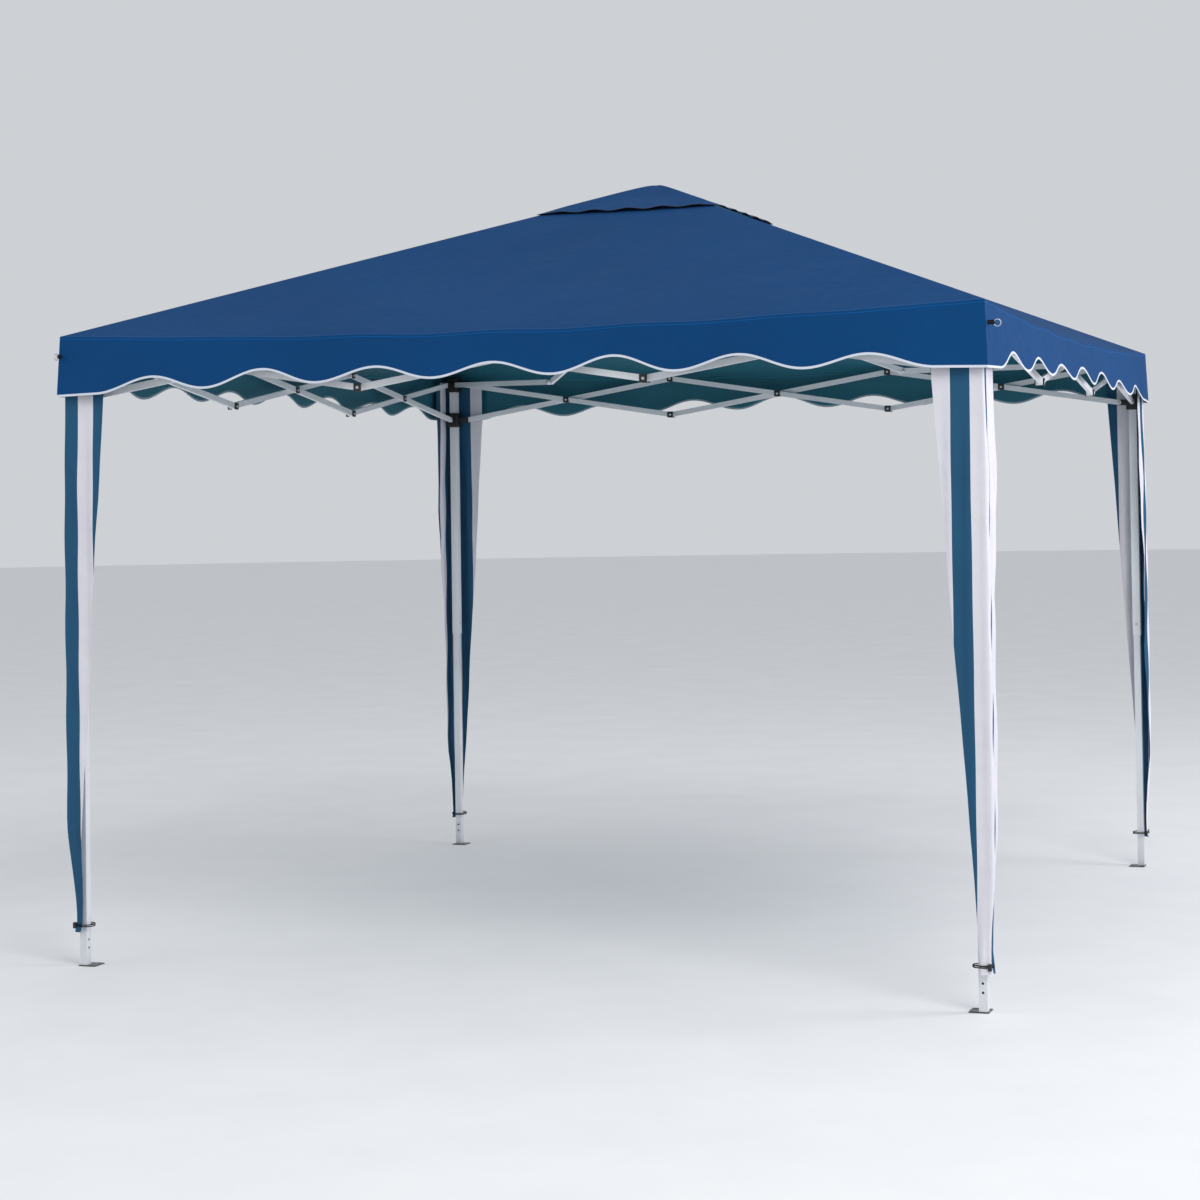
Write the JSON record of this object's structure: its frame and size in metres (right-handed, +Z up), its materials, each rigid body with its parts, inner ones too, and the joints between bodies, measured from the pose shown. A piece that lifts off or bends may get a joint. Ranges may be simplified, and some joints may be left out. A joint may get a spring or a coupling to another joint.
{
  "type": "pop up gazebo",
  "caption": "Square fabric gazebo on telescopic legs with a folding scissor frame, hip rafters, a vented roof, scalloped valances and a striped drape at each leg.",
  "frame": {"origin": "centre of the bounding box's base, on the ground in the middle of the four feet", "axes": "+Z up; the front eave runs along X at -Y, and the four sides are alike by quarter turns"},
  "size_m": [3.016, 3.016, 2.5843],
  "materials": {
    "white_steel": "satin",
    "black_plastic": "satin",
    "button_plastic": "satin",
    "blue_cloth": "matte",
    "striped_cloth": "matte"
  },
  "bodies": {
    "hub": {"hub": "black_plastic", "centre_pole": "white_steel", "canopy": "blue_cloth", "vent_cap": "blue_cloth"},
    "inner_rafter_front_right": {"inner_rafter_front_right": "white_steel"},
    "outer_rafter_front_right": {"outer_rafter_front_right": "white_steel"},
    "leg_front_right": {"outer_leg_front_right": "white_steel", "top_bracket_front_right": "black_plastic", "drape_front_right": "striped_cloth"},
    "foot_front_right": {"inner_leg_front_right": "white_steel"},
    "bar_down_next_front_right": {"bar_down_next_front_right": "white_steel"},
    "bar_up_next_front_right": {"bar_up_next_front_right": "white_steel"},
    "bar_middle_next_front_right": {"bar_middle_next_front_right": "white_steel"},
    "slider_front_right": {"slider_front_right": "black_plastic"},
    "button_front_right": {"slider_button_front_right": "button_plastic"},
    "bar_down_last_front_right": {"bar_down_last_front_right": "white_steel"},
    "bar_up_last_front_right": {"bar_up_last_front_right": "white_steel"},
    "bar_middle_last_front_right": {"bar_middle_last_front_right": "white_steel"},
    "inner_rafter_rear_right": {"inner_rafter_rear_right": "white_steel"},
    "outer_rafter_rear_right": {"outer_rafter_rear_right": "white_steel"},
    "leg_rear_right": {"outer_leg_rear_right": "white_steel", "top_bracket_rear_right": "black_plastic", "drape_rear_right": "striped_cloth"},
    "foot_rear_right": {"inner_leg_rear_right": "white_steel"},
    "bar_down_next_rear_right": {"bar_down_next_rear_right": "white_steel"},
    "bar_up_next_rear_right": {"bar_up_next_rear_right": "white_steel"},
    "bar_middle_next_rear_right": {"bar_middle_next_rear_right": "white_steel"},
    "slider_rear_right": {"slider_rear_right": "black_plastic"},
    "button_rear_right": {"slider_button_rear_right": "button_plastic"},
    "bar_down_last_rear_right": {"bar_down_last_rear_right": "white_steel"},
    "bar_up_last_rear_right": {"bar_up_last_rear_right": "white_steel"},
    "bar_middle_last_rear_right": {"bar_middle_last_rear_right": "white_steel"},
    "inner_rafter_rear_left": {"inner_rafter_rear_left": "white_steel"},
    "outer_rafter_rear_left": {"outer_rafter_rear_left": "white_steel"},
    "leg_rear_left": {"outer_leg_rear_left": "white_steel", "top_bracket_rear_left": "black_plastic", "drape_rear_left": "striped_cloth"},
    "foot_rear_left": {"inner_leg_rear_left": "white_steel"},
    "bar_down_next_rear_left": {"bar_down_next_rear_left": "white_steel"},
    "bar_up_next_rear_left": {"bar_up_next_rear_left": "white_steel"},
    "bar_middle_next_rear_left": {"bar_middle_next_rear_left": "white_steel"},
    "slider_rear_left": {"slider_rear_left": "black_plastic"},
    "button_rear_left": {"slider_button_rear_left": "button_plastic"},
    "bar_down_last_rear_left": {"bar_down_last_rear_left": "white_steel"},
    "bar_up_last_rear_left": {"bar_up_last_rear_left": "white_steel"},
    "bar_middle_last_rear_left": {"bar_middle_last_rear_left": "white_steel"},
    "inner_rafter_front_left": {"inner_rafter_front_left": "white_steel"},
    "outer_rafter_front_left": {"outer_rafter_front_left": "white_steel"},
    "leg_front_left": {"outer_leg_front_left": "white_steel", "top_bracket_front_left": "black_plastic", "drape_front_left": "striped_cloth"},
    "foot_front_left": {"inner_leg_front_left": "white_steel"},
    "bar_down_next_front_left": {"bar_down_next_front_left": "white_steel"},
    "bar_up_next_front_left": {"bar_up_next_front_left": "white_steel"},
    "bar_middle_next_front_left": {"bar_middle_next_front_left": "white_steel"},
    "slider_front_left": {"slider_front_left": "black_plastic"},
    "button_front_left": {"slider_button_front_left": "button_plastic"},
    "bar_down_last_front_left": {"bar_down_last_front_left": "white_steel"},
    "bar_up_last_front_left": {"bar_up_last_front_left": "white_steel"},
    "bar_middle_last_front_left": {"bar_middle_last_front_left": "white_steel"}
  },
  "joints": [
    {"name": "frame_fold", "type": "hinge", "parent": "hub", "child": "inner_rafter_front_right", "pos_m": [0.02318, -0.02318, 2.2081], "axis": [0.7071, 0.7071, 0], "range_deg": [0, 74]},
    {"name": "rafter_elbow_front_right", "type": "hinge", "parent": "inner_rafter_front_right", "child": "outer_rafter_front_right", "pos_m": [0.70937, -0.70937, 1.92745], "axis": [0.7071, 0.7071, 0], "range_deg": [-148, 0]},
    {"name": "leg_pivot_front_right", "type": "hinge", "parent": "outer_rafter_front_right", "child": "leg_front_right", "pos_m": [1.42318, -1.42318, 1.965], "axis": [0.7071, 0.7071, 0], "range_deg": [0, 74]},
    {"name": "leg_slide_front_right", "type": "slide", "parent": "leg_front_right", "child": "foot_front_right", "axis": [0, 0, 1], "range_m": [0, 0.8]},
    {"name": "pivot_down_next_front_right", "type": "hinge", "parent": "leg_front_right", "child": "bar_down_next_front_right", "pos_m": [1.455, -1.4, 1.965], "axis": [-1, 0, 0], "range_deg": [0, 74]},
    {"name": "pivot_up_next_front_right", "type": "hinge", "parent": "bar_down_next_front_right", "child": "bar_up_next_front_right", "pos_m": [1.455, -0.93333, 1.89], "axis": [-1, 0, 0], "range_deg": [-148, 0]},
    {"name": "pivot_middle_next_front_right", "type": "hinge", "parent": "bar_up_next_front_right", "child": "bar_middle_next_front_right", "pos_m": [1.455, -0.46667, 1.965], "axis": [-1, 0, 0], "range_deg": [0, 148]},
    {"name": "slider_pivot_front_right", "type": "hinge", "parent": "bar_up_next_front_right", "child": "slider_front_right", "pos_m": [1.455, -1.4, 1.815], "axis": [-1, 0, 0], "range_deg": [0, 74]},
    {"name": "button_press_front_right", "type": "slide", "parent": "slider_front_right", "child": "button_front_right", "axis": [0, 1, 0], "range_m": [0, 0.003], "stiffness_N_per_m": 400},
    {"name": "pivot_down_last_front_right", "type": "hinge", "parent": "leg_front_right", "child": "bar_down_last_front_right", "pos_m": [1.4, -1.455, 1.965], "axis": [0, -1, 0], "range_deg": [0, 74]},
    {"name": "pivot_up_last_front_right", "type": "hinge", "parent": "bar_down_last_front_right", "child": "bar_up_last_front_right", "pos_m": [0.93333, -1.455, 1.89], "axis": [0, -1, 0], "range_deg": [-148, 0]},
    {"name": "pivot_middle_last_front_right", "type": "hinge", "parent": "bar_up_last_front_right", "child": "bar_middle_last_front_right", "pos_m": [0.46667, -1.455, 1.965], "axis": [0, -1, 0], "range_deg": [0, 148]},
    {"name": "hub_pivot_rear_right", "type": "hinge", "parent": "hub", "child": "inner_rafter_rear_right", "pos_m": [0.02318, 0.02318, 2.2081], "axis": [-0.7071, 0.7071, 0], "range_deg": [0, 74]},
    {"name": "rafter_elbow_rear_right", "type": "hinge", "parent": "inner_rafter_rear_right", "child": "outer_rafter_rear_right", "pos_m": [0.70937, 0.70937, 1.92745], "axis": [-0.7071, 0.7071, 0], "range_deg": [-148, 0]},
    {"name": "leg_pivot_rear_right", "type": "hinge", "parent": "outer_rafter_rear_right", "child": "leg_rear_right", "pos_m": [1.42318, 1.42318, 1.965], "axis": [-0.7071, 0.7071, 0], "range_deg": [0, 74]},
    {"name": "leg_slide_rear_right", "type": "slide", "parent": "leg_rear_right", "child": "foot_rear_right", "axis": [0, 0, 1], "range_m": [0, 0.8]},
    {"name": "pivot_down_next_rear_right", "type": "hinge", "parent": "leg_rear_right", "child": "bar_down_next_rear_right", "pos_m": [1.4, 1.455, 1.965], "axis": [0, -1, 0], "range_deg": [0, 74]},
    {"name": "pivot_up_next_rear_right", "type": "hinge", "parent": "bar_down_next_rear_right", "child": "bar_up_next_rear_right", "pos_m": [0.93333, 1.455, 1.89], "axis": [0, -1, 0], "range_deg": [-148, 0]},
    {"name": "pivot_middle_next_rear_right", "type": "hinge", "parent": "bar_up_next_rear_right", "child": "bar_middle_next_rear_right", "pos_m": [0.46667, 1.455, 1.965], "axis": [0, -1, 0], "range_deg": [0, 148]},
    {"name": "slider_pivot_rear_right", "type": "hinge", "parent": "bar_up_next_rear_right", "child": "slider_rear_right", "pos_m": [1.4, 1.455, 1.815], "axis": [0, -1, 0], "range_deg": [0, 74]},
    {"name": "button_press_rear_right", "type": "slide", "parent": "slider_rear_right", "child": "button_rear_right", "axis": [-1, 0, 0], "range_m": [0, 0.003], "stiffness_N_per_m": 400},
    {"name": "pivot_down_last_rear_right", "type": "hinge", "parent": "leg_rear_right", "child": "bar_down_last_rear_right", "pos_m": [1.455, 1.4, 1.965], "axis": [1, 0, 0], "range_deg": [0, 74]},
    {"name": "pivot_up_last_rear_right", "type": "hinge", "parent": "bar_down_last_rear_right", "child": "bar_up_last_rear_right", "pos_m": [1.455, 0.93333, 1.89], "axis": [1, 0, 0], "range_deg": [-148, 0]},
    {"name": "pivot_middle_last_rear_right", "type": "hinge", "parent": "bar_up_last_rear_right", "child": "bar_middle_last_rear_right", "pos_m": [1.455, 0.46667, 1.965], "axis": [1, 0, 0], "range_deg": [0, 148]},
    {"name": "hub_pivot_rear_left", "type": "hinge", "parent": "hub", "child": "inner_rafter_rear_left", "pos_m": [-0.02318, 0.02318, 2.2081], "axis": [-0.7071, -0.7071, 0], "range_deg": [0, 74]},
    {"name": "rafter_elbow_rear_left", "type": "hinge", "parent": "inner_rafter_rear_left", "child": "outer_rafter_rear_left", "pos_m": [-0.70937, 0.70937, 1.92745], "axis": [-0.7071, -0.7071, 0], "range_deg": [-148, 0]},
    {"name": "leg_pivot_rear_left", "type": "hinge", "parent": "outer_rafter_rear_left", "child": "leg_rear_left", "pos_m": [-1.42318, 1.42318, 1.965], "axis": [-0.7071, -0.7071, 0], "range_deg": [0, 74]},
    {"name": "leg_slide_rear_left", "type": "slide", "parent": "leg_rear_left", "child": "foot_rear_left", "axis": [0, 0, 1], "range_m": [0, 0.8]},
    {"name": "pivot_down_next_rear_left", "type": "hinge", "parent": "leg_rear_left", "child": "bar_down_next_rear_left", "pos_m": [-1.455, 1.4, 1.965], "axis": [1, 0, 0], "range_deg": [0, 74]},
    {"name": "pivot_up_next_rear_left", "type": "hinge", "parent": "bar_down_next_rear_left", "child": "bar_up_next_rear_left", "pos_m": [-1.455, 0.93333, 1.89], "axis": [1, 0, 0], "range_deg": [-148, 0]},
    {"name": "pivot_middle_next_rear_left", "type": "hinge", "parent": "bar_up_next_rear_left", "child": "bar_middle_next_rear_left", "pos_m": [-1.455, 0.46667, 1.965], "axis": [1, 0, 0], "range_deg": [0, 148]},
    {"name": "slider_pivot_rear_left", "type": "hinge", "parent": "bar_up_next_rear_left", "child": "slider_rear_left", "pos_m": [-1.455, 1.4, 1.815], "axis": [1, 0, 0], "range_deg": [0, 74]},
    {"name": "button_press_rear_left", "type": "slide", "parent": "slider_rear_left", "child": "button_rear_left", "axis": [0, -1, 0], "range_m": [0, 0.003], "stiffness_N_per_m": 400},
    {"name": "pivot_down_last_rear_left", "type": "hinge", "parent": "leg_rear_left", "child": "bar_down_last_rear_left", "pos_m": [-1.4, 1.455, 1.965], "axis": [0, 1, 0], "range_deg": [0, 74]},
    {"name": "pivot_up_last_rear_left", "type": "hinge", "parent": "bar_down_last_rear_left", "child": "bar_up_last_rear_left", "pos_m": [-0.93333, 1.455, 1.89], "axis": [0, 1, 0], "range_deg": [-148, 0]},
    {"name": "pivot_middle_last_rear_left", "type": "hinge", "parent": "bar_up_last_rear_left", "child": "bar_middle_last_rear_left", "pos_m": [-0.46667, 1.455, 1.965], "axis": [0, 1, 0], "range_deg": [0, 148]},
    {"name": "hub_pivot_front_left", "type": "hinge", "parent": "hub", "child": "inner_rafter_front_left", "pos_m": [-0.02318, -0.02318, 2.2081], "axis": [0.7071, -0.7071, 0], "range_deg": [0, 74]},
    {"name": "rafter_elbow_front_left", "type": "hinge", "parent": "inner_rafter_front_left", "child": "outer_rafter_front_left", "pos_m": [-0.70937, -0.70937, 1.92745], "axis": [0.7071, -0.7071, 0], "range_deg": [-148, 0]},
    {"name": "leg_pivot_front_left", "type": "hinge", "parent": "outer_rafter_front_left", "child": "leg_front_left", "pos_m": [-1.42318, -1.42318, 1.965], "axis": [0.7071, -0.7071, 0], "range_deg": [0, 74]},
    {"name": "leg_slide_front_left", "type": "slide", "parent": "leg_front_left", "child": "foot_front_left", "axis": [0, 0, 1], "range_m": [0, 0.8]},
    {"name": "pivot_down_next_front_left", "type": "hinge", "parent": "leg_front_left", "child": "bar_down_next_front_left", "pos_m": [-1.4, -1.455, 1.965], "axis": [0, 1, 0], "range_deg": [0, 74]},
    {"name": "pivot_up_next_front_left", "type": "hinge", "parent": "bar_down_next_front_left", "child": "bar_up_next_front_left", "pos_m": [-0.93333, -1.455, 1.89], "axis": [0, 1, 0], "range_deg": [-148, 0]},
    {"name": "pivot_middle_next_front_left", "type": "hinge", "parent": "bar_up_next_front_left", "child": "bar_middle_next_front_left", "pos_m": [-0.46667, -1.455, 1.965], "axis": [0, 1, 0], "range_deg": [0, 148]},
    {"name": "slider_pivot_front_left", "type": "hinge", "parent": "bar_up_next_front_left", "child": "slider_front_left", "pos_m": [-1.4, -1.455, 1.815], "axis": [0, 1, 0], "range_deg": [0, 74]},
    {"name": "button_press_front_left", "type": "slide", "parent": "slider_front_left", "child": "button_front_left", "axis": [1, 0, 0], "range_m": [0, 0.003], "stiffness_N_per_m": 400},
    {"name": "pivot_down_last_front_left", "type": "hinge", "parent": "leg_front_left", "child": "bar_down_last_front_left", "pos_m": [-1.455, -1.4, 1.965], "axis": [-1, 0, 0], "range_deg": [0, 74]},
    {"name": "pivot_up_last_front_left", "type": "hinge", "parent": "bar_down_last_front_left", "child": "bar_up_last_front_left", "pos_m": [-1.455, -0.93333, 1.89], "axis": [-1, 0, 0], "range_deg": [-148, 0]},
    {"name": "pivot_middle_last_front_left", "type": "hinge", "parent": "bar_up_last_front_left", "child": "bar_middle_last_front_left", "pos_m": [-1.455, -0.46667, 1.965], "axis": [-1, 0, 0], "range_deg": [0, 148]}
  ],
  "couplings": [
    {"joint": "rafter_elbow_front_right", "follows": "frame_fold", "ratio": -2},
    {"joint": "leg_pivot_front_right", "follows": "frame_fold", "ratio": 1},
    {"joint": "pivot_down_next_front_right", "follows": "frame_fold", "ratio": 1},
    {"joint": "pivot_up_next_front_right", "follows": "frame_fold", "ratio": -2},
    {"joint": "pivot_middle_next_front_right", "follows": "frame_fold", "ratio": 2},
    {"joint": "slider_pivot_front_right", "follows": "frame_fold", "ratio": 1},
    {"joint": "pivot_down_last_front_right", "follows": "frame_fold", "ratio": 1},
    {"joint": "pivot_up_last_front_right", "follows": "frame_fold", "ratio": -2},
    {"joint": "pivot_middle_last_front_right", "follows": "frame_fold", "ratio": 2},
    {"joint": "hub_pivot_rear_right", "follows": "frame_fold", "ratio": 1},
    {"joint": "rafter_elbow_rear_right", "follows": "frame_fold", "ratio": -2},
    {"joint": "leg_pivot_rear_right", "follows": "frame_fold", "ratio": 1},
    {"joint": "pivot_down_next_rear_right", "follows": "frame_fold", "ratio": 1},
    {"joint": "pivot_up_next_rear_right", "follows": "frame_fold", "ratio": -2},
    {"joint": "pivot_middle_next_rear_right", "follows": "frame_fold", "ratio": 2},
    {"joint": "slider_pivot_rear_right", "follows": "frame_fold", "ratio": 1},
    {"joint": "pivot_down_last_rear_right", "follows": "frame_fold", "ratio": 1},
    {"joint": "pivot_up_last_rear_right", "follows": "frame_fold", "ratio": -2},
    {"joint": "pivot_middle_last_rear_right", "follows": "frame_fold", "ratio": 2},
    {"joint": "hub_pivot_rear_left", "follows": "frame_fold", "ratio": 1},
    {"joint": "rafter_elbow_rear_left", "follows": "frame_fold", "ratio": -2},
    {"joint": "leg_pivot_rear_left", "follows": "frame_fold", "ratio": 1},
    {"joint": "pivot_down_next_rear_left", "follows": "frame_fold", "ratio": 1},
    {"joint": "pivot_up_next_rear_left", "follows": "frame_fold", "ratio": -2},
    {"joint": "pivot_middle_next_rear_left", "follows": "frame_fold", "ratio": 2},
    {"joint": "slider_pivot_rear_left", "follows": "frame_fold", "ratio": 1},
    {"joint": "pivot_down_last_rear_left", "follows": "frame_fold", "ratio": 1},
    {"joint": "pivot_up_last_rear_left", "follows": "frame_fold", "ratio": -2},
    {"joint": "pivot_middle_last_rear_left", "follows": "frame_fold", "ratio": 2},
    {"joint": "hub_pivot_front_left", "follows": "frame_fold", "ratio": 1},
    {"joint": "rafter_elbow_front_left", "follows": "frame_fold", "ratio": -2},
    {"joint": "leg_pivot_front_left", "follows": "frame_fold", "ratio": 1},
    {"joint": "pivot_down_next_front_left", "follows": "frame_fold", "ratio": 1},
    {"joint": "pivot_up_next_front_left", "follows": "frame_fold", "ratio": -2},
    {"joint": "pivot_middle_next_front_left", "follows": "frame_fold", "ratio": 2},
    {"joint": "slider_pivot_front_left", "follows": "frame_fold", "ratio": 1},
    {"joint": "pivot_down_last_front_left", "follows": "frame_fold", "ratio": 1},
    {"joint": "pivot_up_last_front_left", "follows": "frame_fold", "ratio": -2},
    {"joint": "pivot_middle_last_front_left", "follows": "frame_fold", "ratio": 2}
  ]
}
